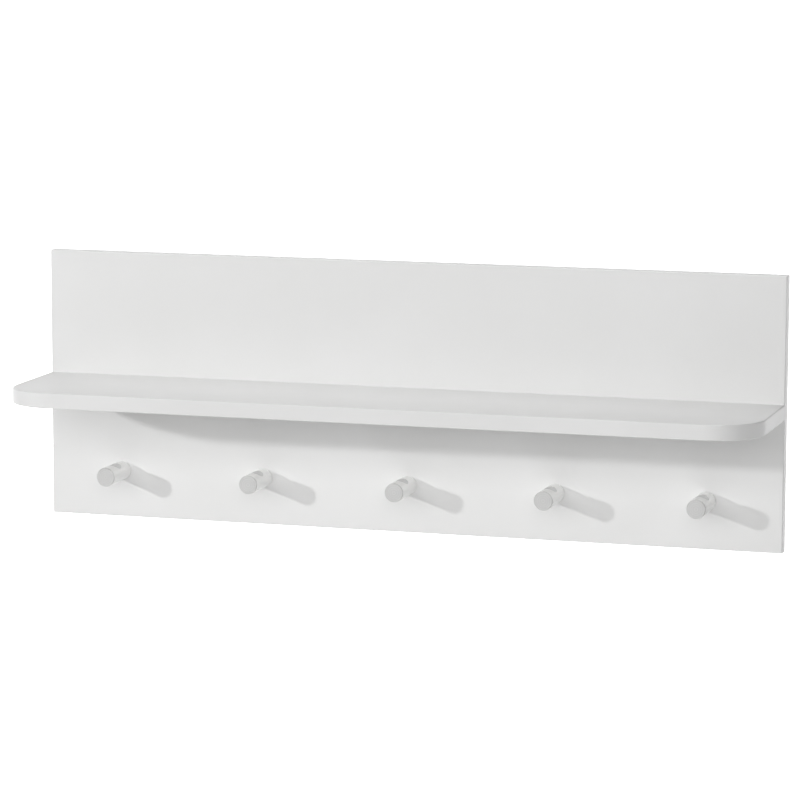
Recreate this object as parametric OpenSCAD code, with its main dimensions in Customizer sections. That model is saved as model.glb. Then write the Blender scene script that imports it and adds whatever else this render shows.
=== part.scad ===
// Wall hook rack: a back panel that hangs on the wall, a shelf board screwed to its front
// and a row of round pegs below the shelf.
//
// Frame: millimetres, +Z up. The wall is the plane y = 0 and the rack stands out of it
// towards -Y, so its front is seen by looking along +Y. The origin lies on the wall,
// midway between the entry holes of the two keyholes that the rack hangs on.

/* [Boards] */
// Width of the rack, the same for panel and shelf
rack_w = 800; // [720:1:1000]
// Height of the back panel
panel_h = 286; // [270:1:340]
// Thickness of both boards
board_t = 16; // [15:0.5:19]
// Thickness of the plastic bands on the board edges
band_t = 2; // [1.6:0.1:2.5]
// Rounding of the long outer edges of the bands
arris_r = 1.2; // [0.5:0.1:1.5]

/* [Shelf] */
// How far the shelf stands out of the panel
shelf_depth = 152; // [120:1:200]
// Height of the shelf's top face above the panel's bottom edge
shelf_top_h = 154; // [130:1:170]
// Radius of the two front corners, band included
corner_r = 52; // [20:1:80]

/* [Pegs] */
// Number of pegs
peg_count = 5; // [3:1:5]
// Diameter of a peg
peg_d = 20; // [18:0.5:24]
// How far a peg stands out of the panel
peg_len = 50; // [40:1:65]
// Height of the pegs' axes above the panel's bottom edge
peg_h = 50.5; // [35:0.5:70]
// Chamfer round the free end of a peg
peg_chamfer = 0.8; // [0.4:0.1:1.5]
// Depth of the scooped notch in the top of a peg
notch_depth = 4; // [1:0.25:5]
// Length of the notch along the peg
notch_len = 18; // [10:1:20]
// Distance from the panel to the middle of the notch
notch_mid = 25.5; // [20:0.5:28]

/* [Wall fixing] */
// Distance between the two keyholes
hanger_span = 640; // [560:5:680]
// Height of the keyholes' entry holes above the panel's bottom edge
hanger_h = 232; // [215:1:250]
// Diameter of an entry hole, where a wall screw's head goes in
entry_d = 10; // [9:0.5:11]
// Width of the slot that a wall screw's shank slides up
slot_w = 5; // [4:0.25:5.5]
// How far the rack drops as it is hung
slot_rise = 10; // [8:0.5:12]

/* [Joinery] */
// Number of long screws between panel and shelf
shelf_screw_count = 4; // [2:1:4]
// Distance between the outer two long screws
shelf_screw_span = 680; // [600:10:700]
// Number of dowels between panel and shelf
dowel_count = 3; // [2:1:3]
// Distance between the outer two dowels
dowel_span = 380; // [340:10:400]

/* [Hidden] */
$fn = 96;
// Overlap between a cutting shape and the face that it opens
EPS = 0.01;
// Clearance round a screw or a dowel
GAP = 0.05;

// Heights in the rack's own frame
bottom_z = -hanger_h;
top_z = bottom_z + panel_h;
shelf_z = bottom_z + shelf_top_h - board_t;
joint_z = shelf_z + board_t / 2;
peg_z = bottom_z + peg_h;

// The bare boards, without their bands
core_w = rack_w - 2 * band_t;
core_h = panel_h - 2 * band_t;
core_depth = shelf_depth - band_t;

// Machine screws that hold the pegs
hook_screw_d = 5;
hook_screw_core_d = 4.1;
hook_screw_pitch = 0.8;
hook_screw_len = 25;
hook_screw_head_d = 9.4;
hook_screw_head_h = 3.2;
hook_screw_dome = 1.4;
hook_screw_sunk = 0.4;
hook_screw_recess = [5, 2.2];
counterbore_d = 11;
counterbore_depth = hook_screw_sunk + hook_screw_head_h;
clearance_hole_d = 5.5;
peg_bore_depth = 15;
peg_base_chamfer = 0.3;

// Countersunk screws, as [thread, core, pitch, head, rim, neck, length]: diameters of
// thread, core and head, then the straight rim of the head and the distance from the
// top of the head to the end of the plain neck
SHELF_SCREW = [7, 5, 3, 10, 0.8, 17, 50];
HANGER_SCREW = [3, 2.1, 1.2, 6, 0.1, 2.6, 12];
shelf_screw_sunk = 0.3;
hanger_screw_sunk = 0.2;
hanger_screw_recess = [3, 1.2];
hex_key = 4;
hex_key_depth = 3.5;
cross_w = 0.9;

// Fluted dowels
dowel_d = 8;
dowel_len = 30;
dowel_in_panel = 11;
dowel_slack = 0.5;
dowel_chamfer = 1;
flute_count = 16;
flute_r = 0.35;

// Hanger plates, and the pockets milled behind them for the wall screws' heads
plate_w = 20;
plate_len = 54;
plate_t = 2;
plate_gap = 0.2;
plate_mid_z = 4;
plate_screw_offset = 20;
pocket_w = 13;
pocket_depth = 9;

// Evenly spaced positions over a span, from left to right
function spread(count, span) = [for (i = [0 : count - 1]) -span / 2 + i * span / (count - 1)];

peg_xs = spread(peg_count, rack_w - rack_w / peg_count);
shelf_screw_xs = spread(shelf_screw_count, shelf_screw_span);
dowel_xs = spread(dowel_count, dowel_span);
hanger_xs = spread(2, hanger_span);
hanger_screw_spots = [
    for (x = hanger_xs, side = [-1, 1]) [x, plate_mid_z + side * plate_screw_offset]
];

// Names of the nodes in a numbered row
function numbered(stem, count) = [for (i = [1 : count]) str(stem, "_", i)];

board_white = [0.94, 0.94, 0.93];
band_white = [0.91, 0.91, 0.90];
satin_aluminium = [0.78, 0.78, 0.77];
zinc = [0.68, 0.70, 0.73];
beech = [0.82, 0.68, 0.48];

// Lays a shape drawn upwards along +Z so that it starts at y and points away from the wall
module from_wall(x, z, y = 0) {
    translate([x, y, z]) rotate([90, 0, 0]) children();
}

// An upright outline with half-round ends
module stadium(w, l) {
    square([w, l - w], center = true);
    for (side = [-1, 1]) translate([0, side * (l - w) / 2]) circle(d = w);
}

// A rectangle standing on the x axis with its two upper corners rounded
module round_topped(w, h, r) {
    square([w, h - r]);
    translate([r, 0]) square([w - 2 * r, h]);
    intersection() {
        for (x = [r, w - r]) translate([x, h - r]) circle(r = r);
        square([w, h]);
    }
}

// Cross-section of a band: x leads across the board's thickness, y away from the board
module band_profile() {
    round_topped(board_t, band_t, arris_r);
}

// The same cross-section with x leading away from the board and y across its thickness
module upright_profile() {
    mirror([1, 0]) rotate(90) band_profile();
}

// Half-outline of a thread from z0 to z1, its turns drawn as plain rings
function thread_points(d, core_d, pitch, z0, z1, extra) = let(
    turns = floor((z1 - z0) / pitch),
    crest = pitch / 8,
    flank = (pitch - crest) / 2
) concat(
    [
        for (i = [0 : turns - 1], p = [[core_d, 0], [d, flank], [d, flank + crest]])
            [p[0] / 2 + extra, z0 + i * pitch + p[1]]
    ],
    [[core_d / 2 + extra, z0 + turns * pitch]]
);

// Threaded shaft of a machine screw, drawn upwards from z = 0
module machine_thread(l, extra = 0) {
    rotate_extrude() polygon(concat(
        [[0, 0]],
        thread_points(hook_screw_d, hook_screw_core_d, hook_screw_pitch, 0, l, extra),
        [[hook_screw_core_d / 2 + extra, l], [0, l]]
    ));
}

// Countersunk screw drawn upwards with the flat of its head at z = 0
module countersunk_screw(size, extra = 0) {
    d = size[0];
    head_d = size[3];
    rim = size[4];
    neck = size[5];
    tip_start = size[6] - d;
    rotate_extrude() polygon(concat(
        [
            [0, 0],
            [head_d / 2 + extra, 0],
            [head_d / 2 + extra, rim],
            [d / 2 + extra, rim + (head_d - d) / 2],
            [d / 2 + extra, neck]
        ],
        thread_points(d, size[1], size[2], neck, tip_start, extra),
        [[size[1] / 2 + extra, tip_start], [0, size[6] + extra]]
    ));
}

// The hole that such a screw sits in, open as far as the face that it is sunk below
module countersunk_seat(size, sunk) {
    countersunk_screw(size, GAP);
    translate([0, 0, -sunk - EPS]) cylinder(h = sunk + 2 * EPS, d = size[3] + 2 * GAP);
}

// Two crossing slots in the top of a screw's head, as [length, depth]
module cross_recess(size) {
    for (turn = [0, 90]) rotate(turn) {
        translate([-size[0] / 2, -cross_w / 2, -EPS]) cube([size[0], cross_w, size[1] + EPS]);
    }
}

module shelf_screw_seats() {
    for (x = shelf_screw_xs) from_wall(x, joint_z, -shelf_screw_sunk) {
        countersunk_seat(SHELF_SCREW, shelf_screw_sunk);
    }
}

module hanger_screw_seats() {
    for (spot = hanger_screw_spots) from_wall(spot[0], spot[1], -hanger_screw_sunk) {
        countersunk_seat(HANGER_SCREW, hanger_screw_sunk);
    }
}

module dowel_holes() {
    for (x = dowel_xs) from_wall(x, joint_z, dowel_in_panel + dowel_slack - board_t) {
        cylinder(h = dowel_len + 2 * dowel_slack, d = dowel_d + 2 * GAP);
    }
}

module back_panel() {
    color(board_white) difference() {
        translate([-core_w / 2, -board_t, bottom_z + band_t]) cube([core_w, board_t, core_h]);
        for (x = peg_xs) from_wall(x, peg_z, EPS) {
            cylinder(h = counterbore_depth + EPS, d = counterbore_d);
            cylinder(h = board_t + 2 * EPS, d = clearance_hole_d);
        }
        for (x = hanger_xs) from_wall(x, 0, EPS) {
            translate([0, plate_mid_z]) linear_extrude(plate_t + EPS) {
                stadium(plate_w + 2 * plate_gap, plate_len + 2 * plate_gap);
            }
            translate([0, slot_rise / 2]) linear_extrude(pocket_depth + EPS) {
                stadium(pocket_w, pocket_w + slot_rise);
            }
        }
        shelf_screw_seats();
        dowel_holes();
        hanger_screw_seats();
    }
}

// A band as long as the rack is wide, on a board edge that faces up at z = 0
module long_band() {
    color(band_white) intersection() {
        translate([-rack_w / 2, -board_t, 0]) rotate([90, 0, 90]) {
            linear_extrude(rack_w) band_profile();
        }
        translate([0, -board_t, 0]) linear_extrude(band_t) {
            square([rack_w - 2 * arris_r, 2 * board_t], center = true);
            translate([-rack_w / 2, arris_r]) square([rack_w, board_t - 2 * arris_r]);
            for (side = [-1, 1], y = [arris_r, board_t - arris_r]) {
                translate([side * (rack_w / 2 - arris_r), y]) circle(r = arris_r);
            }
        }
    }
}

module panel_band_top() {
    translate([0, 0, top_z - band_t]) long_band();
}

module panel_band_bottom() {
    translate([0, 0, bottom_z + band_t]) mirror([0, 0, 1]) long_band();
}

// The bands at the sides stand between the two long ones
module panel_band_right() {
    color(band_white) translate([core_w / 2, -board_t, bottom_z + band_t]) {
        linear_extrude(core_h) upright_profile();
    }
}

module panel_band_left() {
    mirror([1, 0, 0]) panel_band_right();
}

module shelf_board() {
    color(board_white) difference() {
        translate([-core_w / 2, -board_t, shelf_z]) mirror([0, 1, 0]) linear_extrude(board_t) {
            round_topped(core_w, core_depth, corner_r - band_t);
        }
        shelf_screw_seats();
        dowel_holes();
    }
}

// One strip bent round the shelf: right end, corner, front, corner and left end
module shelf_band() {
    straight = shelf_depth - corner_r;
    bend_x = rack_w / 2 - corner_r;
    color(band_white) translate([0, -board_t, shelf_z]) {
        for (side = [0, 180]) rotate([0, side, 0]) translate([0, 0, side > 0 ? -board_t : 0]) {
            translate([core_w / 2, 0, 0]) rotate([90, 0, 0]) {
                linear_extrude(straight) upright_profile();
            }
            translate([bend_x, -straight, 0]) rotate(-90) rotate_extrude(angle = 90) {
                translate([corner_r - band_t, 0]) upright_profile();
            }
        }
        translate([bend_x, -core_depth, 0]) rotate([0, 0, -90]) rotate([90, 0, 0]) {
            linear_extrude(2 * bend_x) upright_profile();
        }
    }
}

// A round peg, notched in its top, with a threaded hole in its base
module hook_peg(x) {
    notch_r = (pow(notch_len / 2, 2) + pow(notch_depth, 2)) / (2 * notch_depth);
    color(satin_aluminium) difference() {
        from_wall(x, peg_z, -board_t) rotate_extrude() polygon([
            [0, 0],
            [peg_d / 2 - peg_base_chamfer, 0],
            [peg_d / 2, peg_base_chamfer],
            [peg_d / 2, peg_len - peg_chamfer],
            [peg_d / 2 - peg_chamfer, peg_len],
            [0, peg_len]
        ]);
        from_wall(x, peg_z, -counterbore_depth) {
            machine_thread(board_t - counterbore_depth + peg_bore_depth, GAP);
        }
        translate([x, -board_t - notch_mid, peg_z + peg_d / 2 - notch_depth + notch_r]) {
            rotate([0, 90, 0]) cylinder(h = 2 * peg_d, r = notch_r, center = true);
        }
    }
}

// A machine screw that pulls a peg against the panel, its domed head sunk in the back
module hook_screw(x) {
    color(zinc) from_wall(x, peg_z, -hook_screw_sunk) difference() {
        union() {
            rotate_extrude() {
                inner_r = hook_screw_head_d / 2 - hook_screw_dome;
                square([inner_r, hook_screw_head_h]);
                translate([inner_r, hook_screw_dome]) circle(r = hook_screw_dome);
                translate([0, hook_screw_dome]) {
                    square([hook_screw_head_d / 2, hook_screw_head_h - hook_screw_dome]);
                }
            }
            translate([0, 0, hook_screw_head_h]) machine_thread(hook_screw_len);
        }
        cross_recess(hook_screw_recess);
    }
}

// A long screw that pulls the shelf against the panel, driven by a hexagon key
module shelf_screw(x) {
    color(zinc) from_wall(x, joint_z, -shelf_screw_sunk) difference() {
        countersunk_screw(SHELF_SCREW);
        translate([0, 0, -EPS]) cylinder(h = hex_key_depth, d = hex_key / cos(30), $fn = 6);
    }
}

// A fluted dowel, half hidden in the panel and half in the shelf
module shelf_dowel(x) {
    tip_r = dowel_d / 2 - dowel_chamfer;
    color(beech) from_wall(x, joint_z, dowel_in_panel - board_t) intersection() {
        linear_extrude(dowel_len) difference() {
            circle(d = dowel_d);
            for (i = [0 : flute_count - 1]) {
                rotate(i * 360 / flute_count) translate([dowel_d / 2, 0]) circle(r = flute_r);
            }
        }
        rotate_extrude() polygon([
            [0, 0],
            [tip_r, 0],
            [dowel_d / 2 + EPS, dowel_chamfer],
            [dowel_d / 2 + EPS, dowel_len - dowel_chamfer],
            [tip_r, dowel_len],
            [0, dowel_len]
        ]);
    }
}

// A steel plate with a keyhole between two countersunk holes, flush with the panel's back
module hanger_plate(x) {
    color(zinc) difference() {
        from_wall(x, plate_mid_z) linear_extrude(plate_t) stadium(plate_w, plate_len);
        from_wall(x, 0, EPS) linear_extrude(plate_t + 2 * EPS) {
            circle(d = entry_d);
            translate([-slot_w / 2, 0]) square([slot_w, slot_rise]);
            translate([0, slot_rise]) circle(d = slot_w);
        }
        hanger_screw_seats();
    }
}

module hanger_plate_left() {
    hanger_plate(hanger_xs[0]);
}

module hanger_plate_right() {
    hanger_plate(hanger_xs[1]);
}

module hanger_screw(spot) {
    color(zinc) from_wall(spot[0], spot[1], -hanger_screw_sunk) difference() {
        countersunk_screw(HANGER_SCREW);
        cross_recess(hanger_screw_recess);
    }
}

back_panel();
panel_band_top();
panel_band_bottom();
panel_band_left();
panel_band_right();
shelf_board();
shelf_band();
for (i = [1 : peg_count]) {
    hook_peg(peg_xs[i - 1]);
    hook_screw(peg_xs[i - 1]);
}
for (i = [1 : shelf_screw_count]) {
    shelf_screw(shelf_screw_xs[i - 1]);
}
for (i = [1 : dowel_count]) {
    shelf_dowel(dowel_xs[i - 1]);
}
hanger_plate_left();
hanger_plate_right();
for (i = [1 : len(hanger_screw_spots)]) {
    hanger_screw(hanger_screw_spots[i - 1]);
}
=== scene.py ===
"""A white wall rack with a shelf and five pegs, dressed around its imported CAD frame.

Everything is in metres, in the frame of the CAD model: +Z up, the wall is the plane y = 0,
and the rack stands out of it towards -Y.
"""

import math

import bpy
from mathutils import Matrix, Vector


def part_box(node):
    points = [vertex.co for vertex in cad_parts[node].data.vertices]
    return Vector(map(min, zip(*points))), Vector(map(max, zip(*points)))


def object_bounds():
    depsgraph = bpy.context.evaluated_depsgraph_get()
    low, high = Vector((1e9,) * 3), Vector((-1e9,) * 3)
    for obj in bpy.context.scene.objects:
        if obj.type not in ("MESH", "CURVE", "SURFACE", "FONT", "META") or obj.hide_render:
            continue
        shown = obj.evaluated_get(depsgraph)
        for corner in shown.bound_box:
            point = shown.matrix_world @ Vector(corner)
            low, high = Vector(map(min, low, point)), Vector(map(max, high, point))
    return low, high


MM = 0.001

# Camera: where it stands, from the middle of the panel's front face, and where it looks
CAMERA_OFFSET = Vector((1.069, -3.644, 0.567))
CAMERA_YAW = math.radians(16.47)
CAMERA_PITCH = math.radians(-8.52)
CAMERA_ROLL = math.radians(0.18)
CAMERA_LENS = 164.8
SENSOR_WIDTH = 36.0

# Light. Places and aims are measured from the middle of the panel's front face.
# The key is a small disk in front on the left, which throws the sharp shadows.
KEY_DIRECTION = Vector((-1.03, -1.0, 0.325))
KEY_DISTANCE = 5.0
KEY_SIZE = 0.22
KEY_POWER = 74.0
# Softboxes: name, place, aim, width, height, power
SOFTBOXES = (("front", (0.0, -4.2, 1.45), (0.0, 0.0, 0.0), 5.0, 1.6, 76.5),
             ("right", (3.2, -1.4, 0.5), (0.0, 0.0, 0.0), 1.6, 1.6, 7.5),
             ("top", (-0.4, 0.1, 2.05), (0.0, -0.08, 0.0), 2.4, 1.0, 22.2),
             ("bounce", (0.0, -0.45, -1.36), (0.0, -0.08, -0.1), 2.0, 0.8, 4.0))
ROOM_STRENGTH = 0.13
# Floor: how far it lies below the rack and how far it reaches. Its white glow grows with the
# distance behind the wall, and a weaker one with the distance from the rack on every side.
FLOOR_DROP = 1.5
FLOOR_REACH = 60.0
GLOW_START = 1.0
GLOW_FULL = 3.0
GLOW_STRENGTH = 1.24
RING_START = 1.5
RING_FULL = 4.0
RING_STRENGTH = 0.16
# Backdrop: it stands on the floor behind the wall and glows as white as the floor does there
BACKDROP_DISTANCE = 9.0
BACKDROP_LEFT = -16.0
BACKDROP_RIGHT = 3.0
BACKDROP_HEIGHT = 4.4
# Paint of the floor and the backdrop
SET_GREY = 0.85
SET_ROUGHNESS = 0.8

# How close a point has to be to a board's face, or to a peg's end, to count as lying on it
ON_BOARD_FACE = 0.1 * MM
ON_PEG_END = 0.05 * MM

# Pegs: how metallic their finish is, how far from the end the painted shade of its chamfer reaches, and
# how far inside the round side a point has to be to count as lying in the notch, which gets painted
# shade too
PEG_METALLIC = 0.55
PEG_RIM = 0.85 * MM
NOTCH_INSET = 0.15 * MM

# Darkest and palest grey of each finish
MELAMINE_GREYS = (0.80, 0.83)
BAND_GREYS = (0.785, 0.815)
SHAFT_GREYS = (0.92, 0.99)
# Painted shade: the pegs' ends get a darker grey than their shafts, standing in for shade and dim
# reflection
END_PAINTED_SHADE_GREYS = (0.64, 0.76)
# Painted shade: the pegs' chamfers and notches get a darker grey, standing in for shade and dark
# reflection
RIM_NOTCH_PAINTED_SHADE_GREYS = (0.66, 0.74)

# How far the blue of a grey falls short: the dark and the pale end of the whites, and the metal
WHITE_WARMTH = (0.008, 0.004)
METAL_WARMTH = (0.01, 0.01)


class Surface:
    """A node material that is being put together around its Principled shader."""

    def __init__(self, name, metallic=0.0, specular=0.5):
        self.material = bpy.data.materials.new(name)
        self.material.use_nodes = True
        self.tree = self.material.node_tree
        self.shader = self.tree.nodes["Principled BSDF"]
        self.shader.inputs["Metallic"].default_value = metallic
        self.shader.inputs["Specular IOR Level"].default_value = specular
        self.place = self.node("ShaderNodeTexCoord").outputs["Object"]

    def node(self, kind, **settings):
        made = self.tree.nodes.new(kind)
        for key, value in settings.items():
            setattr(made, key, value)
        return made

    def feed(self, socket, value):
        """Gives a socket a number, a colour or another node's output."""
        if isinstance(value, bpy.types.NodeSocket):
            self.tree.links.new(value, socket)
        else:
            socket.default_value = value

    def math(self, operation, a, b=0.0):
        made = self.node("ShaderNodeMath", operation=operation)
        self.feed(made.inputs[0], a)
        self.feed(made.inputs[1], b)
        return made.outputs[0]

    def stretched(self, scale, offset=(0.0, 0.0, 0.0), turn=(0.0, 0.0, 0.0)):
        """Object coordinates with each axis multiplied by its own scale."""
        made = self.node("ShaderNodeMapping")
        self.feed(made.inputs["Vector"], self.place)
        made.inputs["Location"].default_value = offset
        made.inputs["Rotation"].default_value = turn
        made.inputs["Scale"].default_value = scale
        return made.outputs["Vector"]

    def noise(self, scale, detail=3.0, roughness=0.5, where=None):
        """Noise from 0 to 1 with about one feature in 1 / scale metres."""
        made = self.node("ShaderNodeTexNoise")
        self.feed(made.inputs["Vector"], where or self.place)
        made.inputs["Scale"].default_value = scale
        made.inputs["Detail"].default_value = detail
        made.inputs["Roughness"].default_value = roughness
        return made.outputs["Fac"]

    def spread(self, fac, low, high, start=0.3, end=0.7):
        """Maps fac, from start to end, onto low to high."""
        made = self.node("ShaderNodeMapRange")
        for key, value in zip(("Value", "From Min", "From Max", "To Min", "To Max"),
                              (fac, start, end, low, high)):
            self.feed(made.inputs[key], value)
        return made.outputs["Result"]

    def blend(self, fac, a, b):
        """Colour a where fac is 0 and colour b where it is 1."""
        made = self.node("ShaderNodeMix", data_type="RGBA")
        self.feed(made.inputs["Factor"], fac)
        self.feed(made.inputs[6], a)
        self.feed(made.inputs[7], b)
        return made.outputs[2]

    def greys(self, fac, tones, warmth):
        """A grey between the two tones, the first where fac is 0 and the second where it is 1."""
        return self.blend(fac, grey(tones[0], warmth[0]), grey(tones[1], warmth[1]))

    def relief(self, height, depth, below=None):
        """Adds bump of that depth in metres."""
        made = self.node("ShaderNodeBump")
        self.feed(made.inputs["Height"], height)
        made.inputs["Distance"].default_value = depth
        if below is not None:
            self.feed(made.inputs["Normal"], below)
        return made.outputs["Normal"]

    def finish(self, colour, roughness, normal=None):
        self.feed(self.shader.inputs["Base Color"], colour)
        self.feed(self.shader.inputs["Roughness"], roughness)
        if normal is not None:
            self.feed(self.shader.inputs["Normal"], normal)
        return self.material


def grey(value, warmth=0.0):
    """A nearly neutral colour; warmth lowers its blue."""
    return (value, value, value * (1 - warmth), 1.0)


def particle_board(s):
    """Colour and height of cut particle board: pale chips in a brown binder."""
    chips = s.node("ShaderNodeTexVoronoi")
    s.feed(chips.inputs["Vector"], s.stretched((1.0, 1.0, 2.2)))
    chips.inputs["Scale"].default_value = 420.0
    tone = s.spread(chips.outputs["Distance"], 0.0, 1.0, 0.0, 0.6)
    colour = s.blend(tone, (0.52, 0.38, 0.22, 1.0), (0.30, 0.20, 0.11, 1.0))
    return colour, chips.outputs["Distance"]


def board(name, axis, faces):
    """White melamine on the two broad faces, which lie at the given places along an axis,
    and bare particle board in every hole and pocket."""
    s = Surface(name)
    split = s.node("ShaderNodeSeparateXYZ")
    s.feed(split.inputs[0], s.place)
    along = split.outputs[axis]
    gaps = [s.math("ABSOLUTE", s.math("SUBTRACT", along, face)) for face in faces]
    cut = s.math("GREATER_THAN", s.math("MINIMUM", gaps[0], gaps[1]), ON_BOARD_FACE)
    drift = s.noise(6.0, 2.0)
    fleck = s.noise(900.0, 2.0)
    mottle = s.math("ADD", drift, s.math("MULTIPLY", fleck, 0.3))
    white = s.greys(s.spread(mottle, 0.0, 1.0, 0.4, 0.9), MELAMINE_GREYS, WHITE_WARMTH)
    chips, chip_height = particle_board(s)
    pearl = s.noise(1400.0, 3.0, 0.6)
    pores = s.noise(320.0, 2.0, 0.5)
    skin = s.relief(pores, 0.02 * MM, s.relief(pearl, 0.03 * MM))
    coat_rough = s.spread(s.noise(35.0, 3.0), 0.42, 0.5)
    height = s.relief(s.math("MULTIPLY", chip_height, cut), 0.6 * MM, skin)
    rough = s.math("MAXIMUM", coat_rough, s.math("MULTIPLY", cut, 0.9))
    return s.finish(s.blend(cut, white, chips), rough, height)


def edge_band(name, run_axis):
    """Matt plastic strip with the faint lengthwise lines that the trimmer leaves."""
    s = Surface(name)
    squeeze = [900.0, 900.0, 900.0]
    squeeze[run_axis] = 12.0
    lines = s.noise(1.0, 3.0, 0.6, s.stretched(squeeze))
    drift = s.noise(9.0, 2.0)
    white = s.greys(s.spread(drift, 0.0, 1.0), BAND_GREYS, WHITE_WARMTH)
    grain = s.relief(s.noise(2200.0, 2.0), 0.02 * MM, s.relief(lines, 0.015 * MM))
    return s.finish(white, s.spread(lines, 0.36, 0.46), grain)


def satin_aluminium(name, low, high):
    """A lacquered rod of the given box: pale on the shaft, with painted shade that makes the end, its
    chamfer and the notch darker, and with rings on the end and round the shaft."""
    s = Surface(name, metallic=PEG_METALLIC)
    centre = (low + high) / 2
    local = s.stretched((1.0, 1.0, 1.0), (-centre.x, -low.y, -centre.z))
    split = s.node("ShaderNodeSeparateXYZ")
    s.feed(split.inputs[0], local)
    x, depth, z = split.outputs
    radius = s.math("SQRT", s.math("ADD", s.math("MULTIPLY", x, x), s.math("MULTIPLY", z, z)))
    inside = s.math("LESS_THAN", radius, (high.x - low.x) / 2 - NOTCH_INSET)
    behind_end = s.math("GREATER_THAN", depth, ON_PEG_END)
    on_rim = s.math("MULTIPLY", s.math("LESS_THAN", depth, PEG_RIM), behind_end)
    on_end = s.math("LESS_THAN", depth, ON_PEG_END)
    in_notch = s.math("MULTIPLY", inside, s.math("GREATER_THAN", depth, PEG_RIM))

    rings = s.node("ShaderNodeCombineXYZ")
    s.feed(rings.inputs["X"], radius)
    s.feed(rings.inputs["Y"], depth)
    fine = s.noise(2600.0, 2.0, 0.7, rings.outputs[0])
    broad = s.noise(900.0, 2.0, 0.6, rings.outputs[0])
    cloud = s.noise(160.0, 3.0)
    shaft = s.greys(s.spread(broad, 0.0, 1.0), SHAFT_GREYS, METAL_WARMTH)
    # Painted shade: the end takes a darker grey than the shaft
    end_painted_shade = s.greys(s.spread(broad, 0.0, 1.0), END_PAINTED_SHADE_GREYS, METAL_WARMTH)
    # Painted shade: a darker grey for the chamfer and the notch
    rim_notch_painted_shade = s.greys(s.spread(cloud, 0.0, 1.0), RIM_NOTCH_PAINTED_SHADE_GREYS, METAL_WARMTH)
    tone = s.blend(on_end, shaft, end_painted_shade)
    # The chamfer and the notch get their painted shade over the other tones
    tone = s.blend(s.math("MAXIMUM", on_rim, in_notch), tone, rim_notch_painted_shade)
    rough = s.math("ADD", s.spread(fine, 0.38, 0.50), s.spread(cloud, -0.03, 0.03))
    return s.finish(tone, rough, s.relief(fine, 0.012 * MM, s.relief(broad, 0.02 * MM)))


def zinc_steel(name):
    """Bright zinc plate: bluish, a little cloudy, with fine pits."""
    s = Surface(name, metallic=1.0)
    cloud = s.noise(220.0, 4.0, 0.6)
    colour = s.blend(s.spread(cloud, 0.0, 1.0), (0.50, 0.53, 0.56, 1.0), (0.66, 0.68, 0.70, 1.0))
    return s.finish(colour, s.spread(cloud, 0.22, 0.40), s.relief(s.noise(1800.0, 2.0), 0.01 * MM))


def beech(name):
    """Pale wood with grain along Y and short darker flecks."""
    s = Surface(name, specular=0.3)
    grain = s.noise(1.0, 4.0, 0.6, s.stretched((1600.0, 90.0, 1600.0)))
    flecks = s.noise(1.0, 1.0, 0.5, s.stretched((2600.0, 400.0, 2600.0)))
    colour = s.blend(s.spread(grain, 0.0, 1.0), (0.60, 0.40, 0.22, 1.0), (0.74, 0.54, 0.32, 1.0))
    colour = s.blend(s.spread(flecks, 0.0, 0.6, 0.6, 0.75), colour, (0.38, 0.22, 0.11, 1.0))
    return s.finish(colour, s.spread(grain, 0.55, 0.7), s.relief(grain, 0.05 * MM))


def dress(node, material):
    """Puts one material on a CAD node."""
    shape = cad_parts[node].data
    shape.materials.clear()
    shape.materials.append(material)


def numbered(stem):
    return sorted(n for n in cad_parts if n.startswith(stem + "_"))


def dress_rack():
    panel_low, panel_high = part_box("back_panel")
    shelf_low, shelf_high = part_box("shelf_board")
    dress("back_panel", board("panel_melamine", "Y", (panel_low.y, panel_high.y)))
    dress("shelf_board", board("shelf_melamine", "Z", (shelf_low.z, shelf_high.z)))
    for node, run_axis in (("panel_band_top", 0), ("panel_band_bottom", 0),
                           ("panel_band_left", 2), ("panel_band_right", 2), ("shelf_band", 0)):
        dress(node, edge_band(node + "_plastic", run_axis))
    for node in numbered("hook_peg"):
        low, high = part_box(node)
        dress(node, satin_aluminium(node + "_aluminium", low, high))
    zinc = zinc_steel("zinc_plate")
    for stem in ("hook_screw", "shelf_screw", "hanger_screw", "hanger_plate"):
        for node in numbered(stem):
            dress(node, zinc)
    wood = beech("beech")
    for node in numbered("shelf_dowel"):
        dress(node, wood)


def make_camera(target):
    """Looks along +Y, turned by yaw about Z, then by pitch and roll about its own axes."""
    turn = (Matrix.Rotation(CAMERA_YAW, 4, "Z")
            @ Matrix.Rotation(math.pi / 2 + CAMERA_PITCH, 4, "X")
            @ Matrix.Rotation(CAMERA_ROLL, 4, "Z"))
    data = bpy.data.cameras.new("camera")
    data.lens = CAMERA_LENS
    data.sensor_width = SENSOR_WIDTH
    data.clip_end = 2 * FLOOR_REACH
    camera = bpy.data.objects.new("camera", data)
    camera.matrix_world = Matrix.Translation(target + CAMERA_OFFSET) @ turn
    bpy.context.scene.collection.objects.link(camera)
    bpy.context.scene.camera = camera


def area_light(name, shape, place, aim, width, height, power):
    """A soft light that the camera doesn't see, turned to face its aim."""
    data = bpy.data.lights.new(name, "AREA")
    data.shape = shape
    data.size = width
    data.size_y = height
    data.energy = power
    lamp = bpy.data.objects.new(name, data)
    lamp.location = place
    lamp.rotation_euler = (place - aim).to_track_quat("Z", "Y").to_euler()
    lamp.visible_camera = False
    bpy.context.scene.collection.objects.link(lamp)


def make_lights(target):
    key_place = target + KEY_DIRECTION.normalized() * KEY_DISTANCE
    area_light("key", "DISK", key_place, target, KEY_SIZE, KEY_SIZE, KEY_POWER)
    for name, place, aim, width, height, power in SOFTBOXES:
        area_light(name, "RECTANGLE", target + Vector(place), target + Vector(aim), width, height, power)

    world = bpy.data.worlds.new("room")
    world.use_nodes = True
    background = world.node_tree.nodes["Background"]
    background.inputs["Color"].default_value = grey(1.0)
    background.inputs["Strength"].default_value = ROOM_STRENGTH
    bpy.context.scene.world = world


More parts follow.
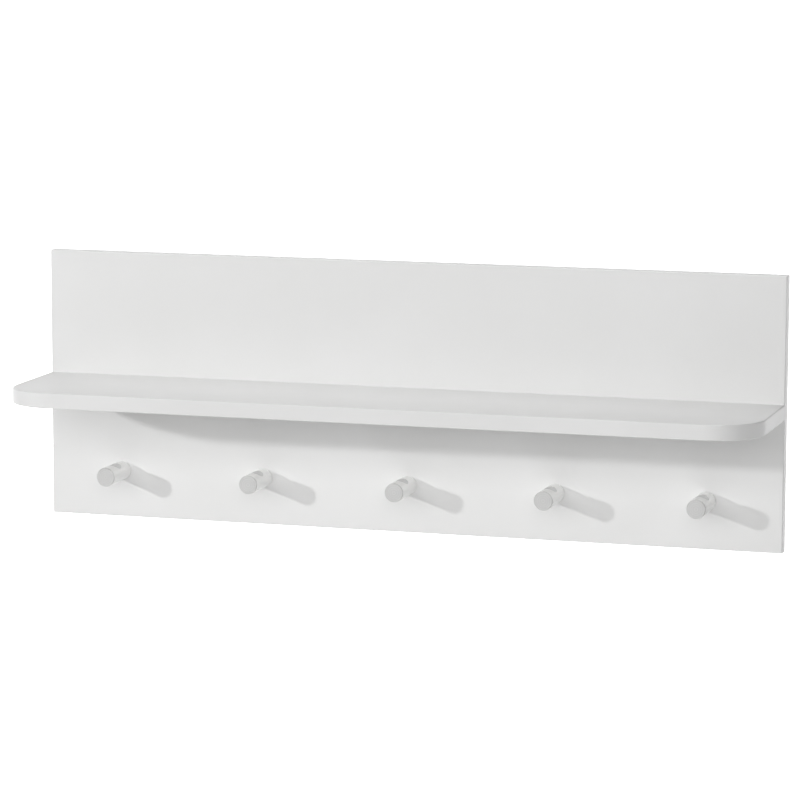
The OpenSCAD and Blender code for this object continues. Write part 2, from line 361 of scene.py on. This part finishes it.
def sheet(name, corners, material):
    """A flat part of the set."""
    mesh = bpy.data.meshes.new(name)
    mesh.from_pydata(corners, [], [(0, 1, 2, 3)])
    mesh.materials.append(material)
    made = bpy.data.objects.new(name, mesh)
    bpy.context.scene.collection.objects.link(made)


def make_set(level):
    """A pale floor at that level and a white backdrop far behind the wall."""
    s = Surface("pale_floor")
    split = s.node("ShaderNodeSeparateXYZ")
    s.feed(split.inputs[0], s.place)
    away = s.node("ShaderNodeVectorMath", operation="LENGTH")
    s.feed(away.inputs[0], s.stretched((1.0, 1.0, 0.0)))
    behind = s.spread(split.outputs["Y"], 0.0, GLOW_STRENGTH, GLOW_START, GLOW_FULL)
    around = s.spread(away.outputs["Value"], 0.0, RING_STRENGTH, RING_START, RING_FULL)
    s.shader.inputs["Emission Color"].default_value = grey(1.0)
    s.feed(s.shader.inputs["Emission Strength"], s.math("MAXIMUM", behind, around))
    r = FLOOR_REACH
    sheet("floor", [(-r, -r, level), (r, -r, level), (r, r, level), (-r, r, level)],
          s.finish(grey(SET_GREY), SET_ROUGHNESS))

    s = Surface("white_backdrop")
    s.shader.inputs["Emission Color"].default_value = grey(1.0)
    s.shader.inputs["Emission Strength"].default_value = GLOW_STRENGTH
    left, right, y, top = BACKDROP_LEFT, BACKDROP_RIGHT, BACKDROP_DISTANCE, level + BACKDROP_HEIGHT
    sheet("backdrop", [(left, y, level), (right, y, level), (right, y, top), (left, y, top)],
          s.finish(grey(SET_GREY), SET_ROUGHNESS))


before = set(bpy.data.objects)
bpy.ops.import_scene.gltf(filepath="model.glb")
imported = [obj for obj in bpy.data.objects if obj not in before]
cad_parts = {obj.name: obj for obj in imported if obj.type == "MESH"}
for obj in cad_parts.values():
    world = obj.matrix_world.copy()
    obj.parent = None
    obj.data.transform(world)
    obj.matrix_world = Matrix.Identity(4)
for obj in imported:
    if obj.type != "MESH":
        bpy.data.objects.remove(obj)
cad_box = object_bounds()

face_low, face_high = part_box("back_panel")
face_middle = Vector(((face_low.x + face_high.x) / 2, face_low.y, (face_low.z + face_high.z) / 2))
make_camera(face_middle)
make_lights(face_middle)
make_set(cad_box[0].z - FLOOR_DROP)
dress_rack()
bpy.context.scene.view_settings.view_transform = "Standard"
